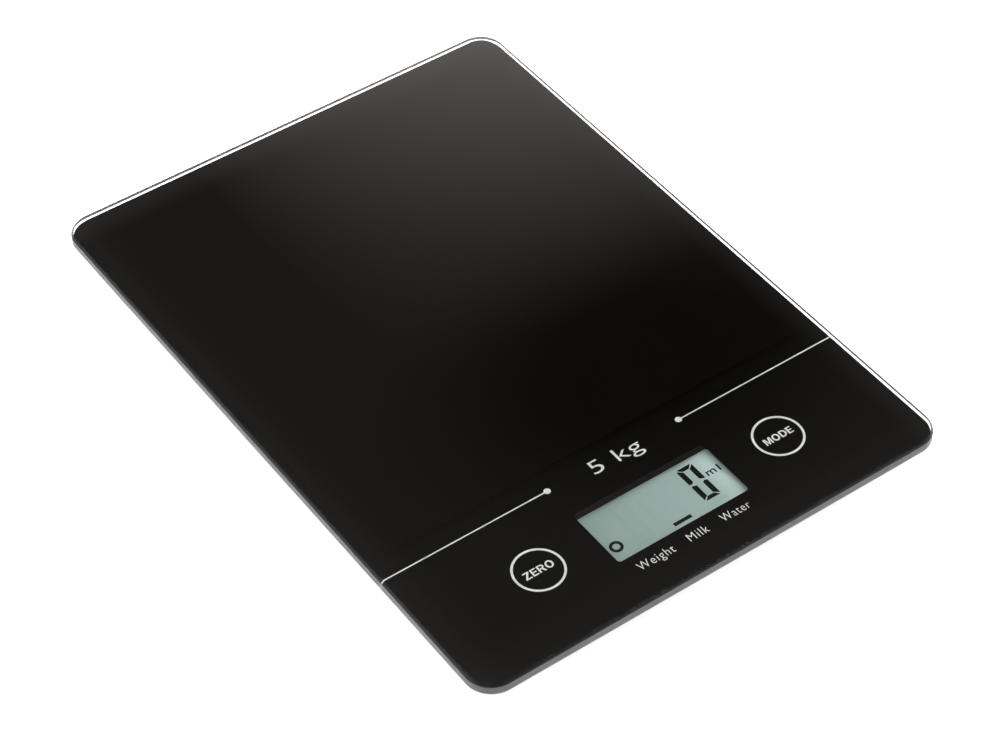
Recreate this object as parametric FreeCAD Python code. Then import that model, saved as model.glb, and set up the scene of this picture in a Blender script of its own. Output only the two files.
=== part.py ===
import FreeCAD, Part
import math
import os

# Slim glass kitchen scale, millimetres.
# Origin: middle of the footprint, on the surface that the feet stand on.
# +X to the right as the display is read, +Y to the back, +Z up.
# The glass plate and the housing bonded under it are one body.  Each of the
# four feet hangs on its own strain-gauge plate and gives by up to half a
# millimetre, which is what the scale weighs with.

V = FreeCAD.Vector

# ----------------------------------------------------------- driving sizes
GLASS_X = 160.0          # plate width
GLASS_Y = 226.0          # plate depth
GLASS_T = 4.0            # plate thickness
GLASS_R = 8.5            # corner radius
GLASS_C = 0.75           # ground chamfer on both rims
GLASS_Z = 12.0           # underside of the plate

FILM_T = 0.12            # black back print
INK_T = 0.06             # white print, set into the black one
TAPE_T = 0.38            # bonding tape

INSET = 10.0             # overhang of the glass past the housing
HOUSE_X = GLASS_X - 2 * INSET
HOUSE_Y = GLASS_Y - 2 * INSET
HOUSE_R = 13.0
DRAFT = 1.6              # how far the housing wall leans in by its floor
WALL = 2.0
FLOOR_Z = 3.0            # underside of the housing
FLOOR_T = 2.0
FLOOR_TOP = FLOOR_Z + FLOOR_T
SPLIT_Z = 10.3           # joint between lower housing and carrier
CARRIER_T = 1.2

FRONT = -GLASS_Y / 2.0   # the edge next to the display

# display
WIN_X0, WIN_X1 = -22.8, 22.7        # clear window in the back print
WIN_Y0, WIN_Y1 = FRONT + 17.2, FRONT + 38.6
WIN_R = 1.4
LCD_TOP = 9.4
LCD_X = 50.4
LCD_Y0, LCD_Y1 = FRONT + 15.4, FRONT + 41.6
LCD_LEDGE = 2.6

# touch keys
KEY_X = 42.0
KEY_Y = FRONT + 28.15
KEY_R = 7.4              # centre line of the printed ring
KEY_STROKE = 0.68
LEAD_X, LEAD_Y = 37.5, FRONT + 24.5   # where the key pads' leads go down

# printed dividing line
LINE_Y = FRONT + 50.05
LINE_W = 0.42
LINE_IN = 23.2           # where each half stops, with a dot
DOT_R = 1.05

# feet and load cells
FOOT_X, FOOT_Y = 49.0, 82.0
FOOT_R = 12.0
FOOT_HOLE_R = 12.6
PAD_R = 9.4
PAD_PROUD = 1.0
CELL_S = 30.0
CELL_T = 1.5
CELL_Z = 6.2
TRAVEL = 0.5             # foot travel at full load, for the record

# circuit board
PCB_X = 32.0
PCB_Y0, PCB_Y1 = -99.0, -61.0
PCB_Z, PCB_T = 5.8, 1.0
PCB_TOP = PCB_Z + PCB_T

# battery
BAT_X, BAT_Y = 0.0, 14.0
COVER_X, COVER_Y, COVER_T = 28.0, 32.0, 1.5
BOX_X, BOX_Y = 24.0, 28.0           # inside of the compartment
CEIL_Z, CEIL_T = 8.9, 1.0
CELL_R, COIN_T = 10.0, 3.2
COIN_Z = 4.9
COVER_GAP = 0.2
HINGE_Y = BAT_Y + COVER_Y / 2.0 + 0.1

# fasteners
HOUSE_SCREWS = [(-62.0, -54.0), (62.0, -54.0), (-62.0, 54.0), (62.0, 54.0),
                (-22.0, 95.0), (22.0, 95.0)]
BOARD_SCREWS = [(-29.8, -96.4), (29.8, -96.4), (-29.8, -63.6), (29.8, -63.6)]
CORNERS = {"front_left": (-1, -1), "front_right": (1, -1),
           "back_left": (-1, 1), "back_right": (1, 1)}

os.makedirs("parts", exist_ok=True)
nodes = {}


# ----------------------------------------------------------- small helpers
def box(x0, x1, y0, y1, z0, z1):
    return Part.makeBox(x1 - x0, y1 - y0, z1 - z0, V(x0, y0, z0))


def cyl(x, y, z0, z1, r):
    return Part.makeCylinder(r, z1 - z0, V(x, y, z0))


def rr_wire(x0, x1, y0, y1, r, z):
    """Rounded rectangle, counter-clockwise."""
    if r <= 0:
        p = [V(x0, y0, z), V(x1, y0, z), V(x1, y1, z), V(x0, y1, z), V(x0, y0, z)]
        return Part.makePolygon(p)
    k = r * (1 - math.sqrt(0.5))
    e = [Part.makeLine(V(x0 + r, y0, z), V(x1 - r, y0, z)),
         Part.Arc(V(x1 - r, y0, z), V(x1 - k, y0 + k, z), V(x1, y0 + r, z)).toShape(),
         Part.makeLine(V(x1, y0 + r, z), V(x1, y1 - r, z)),
         Part.Arc(V(x1, y1 - r, z), V(x1 - k, y1 - k, z), V(x1 - r, y1, z)).toShape(),
         Part.makeLine(V(x1 - r, y1, z), V(x0 + r, y1, z)),
         Part.Arc(V(x0 + r, y1, z), V(x0 + k, y1 - k, z), V(x0, y1 - r, z)).toShape(),
         Part.makeLine(V(x0, y1 - r, z), V(x0, y0 + r, z)),
         Part.Arc(V(x0, y0 + r, z), V(x0 + k, y0 + k, z), V(x0 + r, y0, z)).toShape()]
    return Part.Wire(e)


def rbox(x0, x1, y0, y1, z0, z1, r):
    return Part.Face(rr_wire(x0, x1, y0, y1, r, z0)).extrude(V(0, 0, z1 - z0))


def leaning_box(hx0, hy0, r0, z0, hx1, hy1, r1, z1):
    """Solid between two rounded rectangles about the origin."""
    a = rr_wire(-hx0, hx0, -hy0, hy0, r0, z0)
    b = rr_wire(-hx1, hx1, -hy1, hy1, r1, z1)
    return Part.makeLoft([a, b], True, True)


def cut(shape, tools):
    for t in tools:
        shape = shape.cut(t)
    return shape


def fuse(shapes):
    s = shapes[0]
    if len(shapes) > 1:
        s = s.multiFuse(shapes[1:])
    return s.removeSplitter()


def edges_where(shape, test):
    return [e for e in shape.Edges if test(e)]


def at_z(z, tol=1e-4):
    def f(e):
        b = e.BoundBox
        return abs(b.ZMin - z) < tol and abs(b.ZMax - z) < tol
    return f


def save(name, shape):
    solids = shape.Solids
    if not solids:
        raise ValueError(name + " has no solid")
    if len(solids) == 1:
        out = solids[0]
    else:
        out = Part.makeCompound(solids)
    if not out.isValid():
        raise ValueError(name + " is not valid")
    nodes[name] = out
    out.exportStep("parts/" + name + ".step")


def pan_screw(x, y, seat, length, shank_r, head_r, head_h, down, cross=True):
    """Pan-head screw.  down=True: head above the seat, shank below."""
    s = 1 if down else -1
    head = Part.makeCylinder(head_r, head_h, V(0, 0, 0))
    head = head.makeFillet(head_h * 0.45, [e for e in head.Edges
                                           if abs(e.BoundBox.ZMin - head_h) < 1e-4
                                           and e.BoundBox.ZMax - e.BoundBox.ZMin < 1e-4])
    if cross:
        w, l, d = head_r * 0.24, head_r * 1.1, head_h * 0.5
        bar = Part.makeBox(l, w, d + 0.2, V(-l / 2, -w / 2, head_h - d))
        bar2 = Part.makeBox(w, l, d + 0.2, V(-w / 2, -l / 2, head_h - d))
        head = head.cut(bar).cut(bar2)
    tip = Part.makeCone(shank_r, shank_r * 0.25, shank_r * 1.4,
                        V(0, 0, -length + shank_r * 1.4), V(0, 0, -1))
    shank = Part.makeCylinder(shank_r, length - shank_r * 1.4,
                              V(0, 0, -length + shank_r * 1.4))
    sc = fuse([head, shank, tip])
    if not down:
        sc = sc.rotate(V(0, 0, 0), V(1, 0, 0), 180) or sc
    sc.translate(V(x, y, seat))
    return sc


def tube(points, r, radius):
    """Round tube along straight runs joined by tangent arcs."""
    pts = [V(*p) for p in points]
    edges, cur = [], pts[0]
    for i in range(1, len(pts) - 1):
        a, b, c = pts[i - 1], pts[i], pts[i + 1]
        u, w = (a - b), (c - b)
        lu, lw = u.Length, w.Length
        u.normalize()
        w.normalize()
        ang = u.getAngle(w)
        t = min(radius / math.tan(ang / 2.0), 0.45 * min(lu, lw))
        rr = t * math.tan(ang / 2.0)
        p0, p1 = b + u * t, b + w * t
        bis = u + w
        bis.normalize()
        centre = b + bis * (rr / math.sin(ang / 2.0))
        mid = centre - bis * rr
        edges.append(Part.makeLine(cur, p0))
        edges.append(Part.Arc(p0, mid, p1).toShape())
        cur = p1
    edges.append(Part.makeLine(cur, pts[-1]))
    path = Part.Wire(edges)
    d = pts[1] - pts[0]
    d.normalize()
    prof = Part.Wire([Part.Circle(pts[0], d, r).toShape()])
    s = path.makePipeShell([prof], True, False)
    want = math.pi * r * r * path.Length
    if abs(s.Volume - want) > 0.02 * want:
        raise ValueError("tube volume is off: %g for %g" % (s.Volume, want))
    return s


# ----------------------------------------------------------- glass platform
glass = rbox(-GLASS_X / 2, GLASS_X / 2, -GLASS_Y / 2, GLASS_Y / 2,
             GLASS_Z, GLASS_Z + GLASS_T, GLASS_R)
glass = glass.makeChamfer(GLASS_C, edges_where(glass, at_z(GLASS_Z)) +
                          edges_where(glass, at_z(GLASS_Z + GLASS_T)))
save("glass_platform", glass)

# White print: two key rings, the dividing line in two halves and its dots.
ink0, ink1 = GLASS_Z - INK_T, GLASS_Z
line_end = GLASS_X / 2 - GLASS_C - 0.15
white = []
for s in (-1, 1):
    ring = cyl(s * KEY_X, KEY_Y, ink0, ink1, KEY_R + KEY_STROKE / 2).cut(
        cyl(s * KEY_X, KEY_Y, ink0, ink1, KEY_R - KEY_STROKE / 2))
    white.append(ring)
    xa, xb = sorted((s * LINE_IN, s * line_end))
    bar = box(xa, xb, LINE_Y - LINE_W / 2, LINE_Y + LINE_W / 2, ink0, ink1)
    white.append(fuse([bar, cyl(s * LINE_IN, LINE_Y, ink0, ink1, DOT_R)]))
save("white_print", Part.makeCompound(white))

# Black print over all the rest of the underside, open at the display.
film = rbox(-GLASS_X / 2 + GLASS_C, GLASS_X / 2 - GLASS_C,
            -GLASS_Y / 2 + GLASS_C, GLASS_Y / 2 - GLASS_C,
            GLASS_Z - FILM_T, GLASS_Z, GLASS_R - GLASS_C)
film = film.cut(rbox(WIN_X0, WIN_X1, WIN_Y0, WIN_Y1, GLASS_Z - 1, GLASS_Z + 1, WIN_R))
film = cut(film, white)
save("black_print", film)

# ----------------------------------------------------------- bonding tape
FILM_Z = GLASS_Z - FILM_T
TAPE_Z = FILM_Z - TAPE_T
hx, hy = HOUSE_X / 2, HOUSE_Y / 2
GASKET = (-27.0, 27.4, FRONT + 13.8, FRONT + 43.1)     # outline of the display gasket
tape = rbox(-hx + 1.0, hx - 1.0, -hy + 1.0, hy - 1.0, TAPE_Z, FILM_Z, HOUSE_R - 1.0)
tape = tape.cut(rbox(-hx + 13, hx - 13, -52.0, hy - 13, TAPE_Z - 1, FILM_Z + 1, 6.0))
tape = tape.cut(rbox(GASKET[0] - 0.4, GASKET[1] + 0.4, GASKET[2] - 0.4, GASKET[3] + 0.4,
                     TAPE_Z - 1, FILM_Z + 1, 1.0))
for s in (-1, 1):
    tape = tape.cut(cyl(s * KEY_X, KEY_Y, TAPE_Z - 1, FILM_Z + 1, 6.7))
save("bonding_tape", tape)

# ----------------------------------------------------------- carrier frame
carrier = rbox(-hx, hx, -hy, hy, SPLIT_Z, TAPE_Z, HOUSE_R)
lip_o = WALL + 0.12
lip = rbox(-hx + lip_o, hx - lip_o, -hy + lip_o, hy - lip_o, SPLIT_Z - 1.0, SPLIT_Z, HOUSE_R - lip_o)
lip = lip.cut(rbox(-hx + lip_o + 1.0, hx - lip_o - 1.0, -hy + lip_o + 1.0, hy - lip_o - 1.0,
                   SPLIT_Z - 2, SPLIT_Z + 1, HOUSE_R - lip_o - 1.0))
adds = [carrier, lip]
for (x, y) in HOUSE_SCREWS:
    adds.append(cyl(x, y, 7.6, SPLIT_Z, 2.7))
for yy in (-42.0, 62.0):
    adds.append(box(-54.0, 54.0, yy - 0.7, yy + 0.7, SPLIT_Z - 0.9, SPLIT_Z))
for xx in (-54.0, 54.0):
    adds.append(box(xx - 0.7, xx + 0.7, -42.7, 62.7, SPLIT_Z - 0.9, SPLIT_Z))
carrier = fuse(adds)
tools = [rbox(GASKET[0] - 0.4, GASKET[1] + 0.4, GASKET[2] - 0.4, GASKET[3] + 0.4,
              SPLIT_Z - 2, TAPE_Z + 1, 1.0)]
for s in (-1, 1):
    # way through for the lead of each touch pad
    tools.append(cyl(s * LEAD_X, LEAD_Y, SPLIT_Z - 2, TAPE_Z + 1, 0.9))
    for t in (-1, 1):
        tools.append(cyl(s * FOOT_X, t * FOOT_Y, SPLIT_Z - 0.6, SPLIT_Z + 0.6, 6.0))
    # openings that save plastic
    tools.append(rbox(min(s * 20.0, s * 50.0), max(s * 20.0, s * 50.0), -36.0, 6.0, SPLIT_Z - 2, TAPE_Z + 1, 4.0))
    tools.append(rbox(min(s * 20.0, s * 50.0), max(s * 20.0, s * 50.0), 14.0, 56.0, SPLIT_Z - 2, TAPE_Z + 1, 4.0))
tools.append(rbox(-26.0, 26.0, 67.0, 86.0, SPLIT_Z - 2, TAPE_Z + 1, 4.0))
for (x, y) in HOUSE_SCREWS:
    tools.append(cyl(x, y, 7.0, 10.9, 1.15))
carrier = cut(carrier, tools)
save("carrier_frame", carrier)

# ----------------------------------------------------------- lower housing
fx, fy = hx - DRAFT, hy - DRAFT
outer = leaning_box(fx, fy, HOUSE_R - DRAFT, FLOOR_Z, hx, hy, HOUSE_R, SPLIT_Z)
outer = outer.makeFillet(1.2, edges_where(outer, at_z(FLOOR_Z)))
k = DRAFT * (FLOOR_TOP - FLOOR_Z) / (SPLIT_Z - FLOOR_Z)
inner = leaning_box(fx + k - WALL, fy + k - WALL, HOUSE_R - DRAFT + k - WALL, FLOOR_TOP,
                    hx - WALL, hy - WALL, HOUSE_R - WALL, SPLIT_Z)
inner = inner.fuse(rbox(-hx + WALL, hx - WALL, -hy + WALL, hy - WALL,
                        SPLIT_Z - 1.1, SPLIT_Z + 1.0, HOUSE_R - WALL))
house = outer.cut(inner)

adds = [house]
for (x, y) in HOUSE_SCREWS:
    adds.append(cyl(x, y, FLOOR_TOP - 0.5, 7.5, 3.2))
for s in (-1, 1):
    for t in (-1, 1):
        cx, cy = s * FOOT_X, t * FOOT_Y
        adds.append(cyl(cx, cy, FLOOR_TOP - 0.5, CELL_Z, FOOT_HOLE_R + 1.6))
        for d in (1, -1):
            adds.append(cyl(cx + d * 12.6 * s, cy - d * 12.6 * t, FLOOR_TOP - 0.5, CELL_Z, 2.3))
for (x, y) in BOARD_SCREWS:
    adds.append(cyl(x, y, FLOOR_TOP - 0.5, PCB_Z, 2.0))
# battery compartment
adds.append(rbox(BAT_X - BOX_X / 2 - 1.2, BAT_X + BOX_X / 2 + 1.2,
                 BAT_Y - BOX_Y / 2 - 1.2, BAT_Y + BOX_Y / 2 + 1.2,
                 FLOOR_TOP - 0.5, CEIL_Z + CEIL_T, 2.0))
# floor ribs
for yy in (-48.0, 60.0):
    adds.append(box(-56.0, 56.0, yy - 0.6, yy + 0.6, FLOOR_TOP - 0.4, FLOOR_TOP + 1.6))
for xx in (-38.0, 38.0):
    adds.append(box(xx - 0.6, xx + 0.6, -48.0, 60.0, FLOOR_TOP - 0.4, FLOOR_TOP + 1.6))
for s in (-1, 1):
    adds.append(box(min(s * 13.0, s * 38.0), max(s * 13.0, s * 38.0), BAT_Y - 0.6, BAT_Y + 0.6,
                    FLOOR_TOP - 0.4, FLOOR_TOP + 1.6))
house = fuse(adds)

tools = []
for (x, y) in HOUSE_SCREWS:
    tools.append(cyl(x, y, FLOOR_Z - 1, FLOOR_TOP + 0.4, 2.6))
    tools.append(cyl(x, y, FLOOR_Z - 1, 8.0, 1.4))
for s in (-1, 1):
    for t in (-1, 1):
        cx, cy = s * FOOT_X, t * FOOT_Y
        tools.append(cyl(cx, cy, FLOOR_Z - 1, CELL_Z + 1, FOOT_HOLE_R))
        # shallow ring round each foot opening
        tools.append(cyl(cx, cy, FLOOR_Z - 1, FLOOR_Z + 0.5, FOOT_HOLE_R + 2.6).cut(
            cyl(cx, cy, FLOOR_Z - 1, FLOOR_Z + 0.5, FOOT_HOLE_R + 1.4)))
        for d in (1, -1):
            tools.append(cyl(cx + d * 12.6 * s, cy - d * 12.6 * t, FLOOR_TOP - 1.0, CELL_Z + 1, 0.85))
for (x, y) in BOARD_SCREWS:
    tools.append(cyl(x, y, FLOOR_TOP - 1.0, PCB_Z + 1, 0.85))
bx0, bx1 = BAT_X - BOX_X / 2, BAT_X + BOX_X / 2
by0, by1 = BAT_Y - BOX_Y / 2, BAT_Y + BOX_Y / 2
cx0, cx1 = BAT_X - COVER_X / 2 - COVER_GAP, BAT_X + COVER_X / 2 + COVER_GAP
cy0, cy1 = BAT_Y - COVER_Y / 2 - COVER_GAP, HINGE_Y + 0.1
tools.append(rbox(bx0, bx1, by0, by1, FLOOR_Z - 1, CEIL_Z, 1.0))
tools.append(rbox(cx0, cx1, cy0, cy1, FLOOR_Z - 1, FLOOR_Z + COVER_T, 0.8))
for s in (-1, 1):
    # windows for the two hinge tabs of the cover
    tools.append(box(s * 7.0 - 2.3, s * 7.0 + 2.3, by1 - 0.5, cy1, FLOOR_Z, 6.9))
    # slots that let the contact tails out to the wires
    tools.append(box(s * 6.0 - 1.4, s * 6.0 + 1.4, by0 - 2.0, by0 + 0.5, 7.6, 10.5))
# notch for the cover's latch, and a finger scoop in front of it
tools.append(box(-4.4, 4.4, by0 - 0.5, by0 + 0.5, FLOOR_Z, 6.4))
scoop = Part.makeCylinder(7.0, 13.0, V(-6.5, cy0 + 0.8, FLOOR_Z - 5.75), V(1, 0, 0))
tools.append(scoop.common(box(-6.5, 6.5, cy0 - 6.0, cy0 + 0.5, FLOOR_Z - 2, FLOOR_Z + 1.25)))
# blank panel recess and two shallow grooves on the underside
tools.append(rbox(-24.0, 24.0, -62.0, -30.0, FLOOR_Z - 1, FLOOR_Z + 0.35, 3.0))
for s in (-1, 1):
    tools.append(rbox(s * 32.0 - 0.6, s * 32.0 + 0.6, -92.0, 92.0, FLOOR_Z - 1, FLOOR_Z + 0.4, 0.59))
house = cut(house, tools)
save("lower_housing", house)

# ----------------------------------------------------------- housing screws
save("housing_screws", Part.makeCompound(
    [pan_screw(x, y, FLOOR_TOP + 0.4, 5.2, 1.1, 2.2, 1.5, False) for (x, y) in HOUSE_SCREWS]))

# ----------------------------------------------------------- display stack
gasket = rbox(GASKET[0], GASKET[1], GASKET[2], GASKET[3], LCD_TOP, FILM_Z, 1.0)
gasket = gasket.cut(rbox(-23.7, 24.2, WIN_Y0 - 0.5, FRONT + 38.35, LCD_TOP - 1, FILM_Z + 1, 1.0))
save("lcd_gasket", gasket)

front_glass = box(-LCD_X / 2, LCD_X / 2, LCD_Y0, LCD_Y1, LCD_TOP - 1.1, LCD_TOP)
rear_glass = box(-LCD_X / 2, LCD_X / 2, LCD_Y0, LCD_Y1 - LCD_LEDGE, LCD_TOP - 2.2, LCD_TOP - 1.1)
save("lcd_panel", fuse([front_glass, rear_glass]))
save("lcd_reflector", box(-LCD_X / 2 + 0.4, LCD_X / 2 - 0.4, LCD_Y0 + 0.4, LCD_Y1 - LCD_LEDGE - 0.4,
                          LCD_TOP - 2.35, LCD_TOP - 2.2))
holder = rbox(-27.0, 27.0, FRONT + 13.6, FRONT + 43.5, PCB_TOP, LCD_TOP, 1.0)
holder = holder.cut(box(-LCD_X / 2 - 0.1, LCD_X / 2 + 0.1, LCD_Y0 - 0.1, LCD_Y1 + 0.1,
                        PCB_TOP - 1, LCD_TOP + 1))
save("lcd_holder", holder)
save("zebra_strip", box(-23.0, 23.0, FRONT + 39.3, FRONT + 41.2, PCB_TOP, LCD_TOP - 1.1))

# ----------------------------------------------------------- circuit board
pcb = rbox(-PCB_X, PCB_X, PCB_Y0, PCB_Y1, PCB_Z, PCB_TOP, 1.5)
for (x, y) in BOARD_SCREWS:
    pcb = pcb.cut(cyl(x, y, PCB_Z - 1, PCB_TOP + 1, 1.1))
save("main_board", pcb)
save("board_screws", Part.makeCompound(
    [pan_screw(x, y, PCB_TOP, 2.4, 0.8, 1.8, 1.0, True) for (x, y) in BOARD_SCREWS]))
# bonded processor chip under its drop of epoxy
blob = Part.makeSphere(7.0, V(-14.0, -65.2, PCB_TOP - 5.9)).common(
    box(-24.0, -4.0, -75.0, -55.0, PCB_TOP, PCB_TOP + 3.0))
save("processor_chip", blob)
parts = []
for (x, y, w, d) in [(-4.5, -67.0, 2.0, 1.25), (-4.5, -63.4, 2.0, 1.25), (-20.8, -67.0, 2.0, 1.25),
                     (-20.8, -63.4, 2.0, 1.25), (19.0, -67.6, 2.0, 1.25), (19.0, -65.0, 2.0, 1.25),
                     (2.6, -67.4, 1.25, 2.0), (5.0, -67.4, 1.25, 2.0)]:
    parts.append(box(x - w / 2, x + w / 2, y - d / 2, y + d / 2, PCB_TOP, PCB_TOP + 0.8))
save("board_capacitors", Part.makeCompound(parts))
save("amplifier_chip", box(10.0, 15.0, -68.4, -64.6, PCB_TOP, PCB_TOP + 1.5))
# foil pads under the glass that sense the touch keys, and their leads
leads = []
for s, n in ((-1, "touch_pad_zero"), (1, "touch_pad_mode")):
    save(n, cyl(s * KEY_X, KEY_Y, TAPE_Z, FILM_Z, 6.6))
    leads.append(tube([(s * LEAD_X, LEAD_Y, TAPE_Z), (s * LEAD_X, LEAD_Y, 9.45), (s * 29.8, LEAD_Y, 9.45),
                       (s * 29.8, LEAD_Y, PCB_TOP)], 0.4, 0.9))
save("touch_leads", Part.makeCompound(leads))

# ----------------------------------------------------------- battery
r1, r2 = CELL_R, CELL_R - 1.15
prof = [V(0, 0, 0), V(r1 - 0.35, 0, 0), V(r1, 0, 0.35), V(r1, 0, COIN_T - 0.55), V(r1 - 0.3, 0, COIN_T - 0.25),
        V(r2 + 0.25, 0, COIN_T - 0.25), V(r2 + 0.25, 0, COIN_T - 0.45), V(r2, 0, COIN_T - 0.45),
        V(r2, 0, COIN_T), V(0, 0, COIN_T), V(0, 0, 0)]
coin = Part.Face(Part.makePolygon(prof)).revolve(V(0, 0, 0), V(0, 0, 1), 360)
coin.translate(V(BAT_X, BAT_Y, COIN_Z))
save("coin_cell", coin)

top = COIN_Z + COIN_T
ct = 0.3                                   # strip thickness
# minus: a leaf from the ceiling to the raised face of the cell
leaf = [V(-6.0, 0, CEIL_Z), V(-6.0, 0, CEIL_Z - ct), V(-1.2, 0, top), V(1.2, 0, top), V(1.6, 0, top + 0.3),
        V(1.6, 0, top + 0.3 + ct), V(1.0, 0, top + ct), V(-1.1, 0, top + ct), V(-4.8, 0, CEIL_Z), V(-6.0, 0, CEIL_Z)]
minus = Part.Face(Part.makePolygon(leaf)).extrude(V(0, 3.0, 0))
minus.translate(V(0, BAT_Y - 1.5, 0))
tail = box(-7.2, -4.8, BAT_Y - BOX_Y / 2 - 2.0, BAT_Y + 1.5, CEIL_Z - ct, CEIL_Z)
save("battery_contact_minus", fuse([minus, tail]))
# plus: a strip that stands against the rim of the cell
px = CELL_R + 0.05
plus = fuse([box(px, px + ct, BAT_Y - 3.0, BAT_Y + 3.0, 5.4, CEIL_Z),
             box(px - 1.0, px + ct, BAT_Y - 3.0, BAT_Y + 3.0, CEIL_Z - ct, CEIL_Z).fuse(
                 box(4.8, px + ct, BAT_Y - BOX_Y / 2 + 0.4, BAT_Y - BOX_Y / 2 + 2.8, CEIL_Z - ct, CEIL_Z)),
             box(px - 1.6, px + ct, BAT_Y - BOX_Y / 2 + 0.4, BAT_Y - 2.9, CEIL_Z - ct, CEIL_Z),
             box(4.8, 7.2, BAT_Y - BOX_Y / 2 - 2.0, BAT_Y - BOX_Y / 2 + 0.5, CEIL_Z - ct, CEIL_Z)])
save("battery_contact_plus", plus)

# cover: plate, two hinge tabs over the housing floor, latch tongue in front
c0x, c1x = BAT_X - COVER_X / 2, BAT_X + COVER_X / 2
c0y, c1y = BAT_Y - COVER_Y / 2, BAT_Y + COVER_Y / 2
plate = rbox(c0x, c1x, c0y, c1y, FLOOR_Z, FLOOR_Z + COVER_T, 0.8)
cadds = [plate]
for s in (-1, 1):
    tx = s * 7.0
    cadds.append(box(tx - 2.0, tx + 2.0, c1y - 1.4, c1y - 0.1, FLOOR_Z + COVER_T - 0.2, 6.15))
    cadds.append(box(tx - 2.0, tx + 2.0, c1y - 1.4, c1y + 1.5, 5.15, 6.15))
# U-shaped spring of the latch, folded up into its notch
cadds.append(box(-4.0, 4.0, by0 - 0.25, by0 + 0.65, FLOOR_Z + COVER_T - 0.2, 6.0))
cover = fuse(cadds)
ctools = [box(-8.0, 8.0, c0y + 3.4 + i * 1.8, c0y + 4.2 + i * 1.8, FLOOR_Z - 1, FLOOR_Z + 0.35) for i in range(3)]
for s in (-1, 1):
    ctools.append(box(s * 5.2 - 0.35, s * 5.2 + 0.35, c0y - 1, c0y + 2.2, FLOOR_Z - 1, FLOOR_Z + 3))
cover = cut(cover, ctools)
save("battery_cover", cover)
save("cover_foam", rbox(-6.0, 6.0, BAT_Y - 6.0, BAT_Y + 6.0, FLOOR_Z + COVER_T, COIN_Z, 1.0))

# ----------------------------------------------------------- feet and cells
gauges, cell_screws = [], []
for name, (s, t) in CORNERS.items():
    cx, cy = s * FOOT_X, t * FOOT_Y
    # steel plate: outer frame on the housing, C-shaped slot, tongue for the foot
    h = CELL_S / 2
    p = rbox(cx - h, cx + h, cy - h, cy + h, CELL_Z, CELL_Z + CELL_T, 2.5)
    slot = rbox(-9.0, 9.0, -8.2, 8.2, CELL_Z - 1, CELL_Z + CELL_T + 1, 2.0).cut(
        rbox(-12.0, 7.4, -6.4, 6.4, CELL_Z - 2, CELL_Z + CELL_T + 2, 2.0))
    slot = slot.cut(box(-9.5, -6.5, -6.0, 6.0, CELL_Z - 2, CELL_Z + CELL_T + 2))
    if s > 0:
        slot = slot.copy()
    else:
        slot = slot.mirror(V(0, 0, 0), V(1, 0, 0))
    slot.translate(V(cx, cy, 0))
    p = p.cut(slot)
    p = p.cut(cyl(cx, cy, CELL_Z - 1, CELL_Z + CELL_T + 1, 1.6))
    for d in (1, -1):
        p = p.cut(cyl(cx + d * 12.6 * s, cy - d * 12.6 * t, CELL_Z - 1, CELL_Z + CELL_T + 1, 1.1))
        cell_screws.append(pan_screw(cx + d * 12.6 * s, cy - d * 12.6 * t, CELL_Z + CELL_T,
                                     3.2, 0.8, 1.9, 1.0, True))
    save("load_cell_" + name, p)
    # strain gauge under its sealing compound, on the neck of the tongue
    gx = cx - s * 7.5
    g = rbox(gx - 2.0, gx + 2.0, cy - 3.2, cy + 3.2, CELL_Z + CELL_T, CELL_Z + CELL_T + 0.7, 1.0)
    gauges.append(g)
    # foot
    cap = cyl(cx, cy, 1.0, 5.4, FOOT_R)
    cap = cap.makeFillet(0.6, edges_where(cap, at_z(1.0)))
    cap = fuse([cap, cyl(cx, cy, 5.3, CELL_Z, 4.0)])
    cap = cap.cut(cyl(cx, cy, 0.0, 2.0, PAD_R + 0.1))
    cap = cap.cut(cyl(cx, cy, 3.0, 7.0, 1.25))
    ringcut = cyl(cx, cy, 3.6, 6.0, FOOT_R - 1.6).cut(cyl(cx, cy, 3.6, 6.0, 4.6))
    cap = cap.cut(ringcut)
    ribs = [box(cx - FOOT_R + 1.4, cx - 4.4, cy - 0.6, cy + 0.6, 3.5, 5.2),
            box(cx + 4.4, cx + FOOT_R - 1.4, cy - 0.6, cy + 0.6, 3.5, 5.2),
            box(cx - 0.6, cx + 0.6, cy - FOOT_R + 1.4, cy - 4.4, 3.5, 5.2),
            box(cx - 0.6, cx + 0.6, cy + 4.4, cy + FOOT_R - 1.4, 3.5, 5.2)]
    cap = fuse([cap] + ribs)
    save("foot_cap_" + name, cap)
    pad = cyl(cx, cy, 0.0, 2.0, PAD_R)
    pad = pad.makeFillet(0.4, edges_where(pad, at_z(0.0)))
    for gr in (2.6, 4.8, 7.0):
        pad = pad.cut(cyl(cx, cy, -1.0, 0.35, gr + 0.45).cut(cyl(cx, cy, -1.0, 0.35, gr - 0.45)))
    save("foot_pad_" + name, pad)
    save("foot_screw_" + name, pan_screw(cx, cy, CELL_Z + CELL_T, 4.4, 1.2, 2.4, 1.3, True))
save("strain_gauges", Part.makeCompound(gauges))
save("load_cell_screws", Part.makeCompound(cell_screws))

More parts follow.
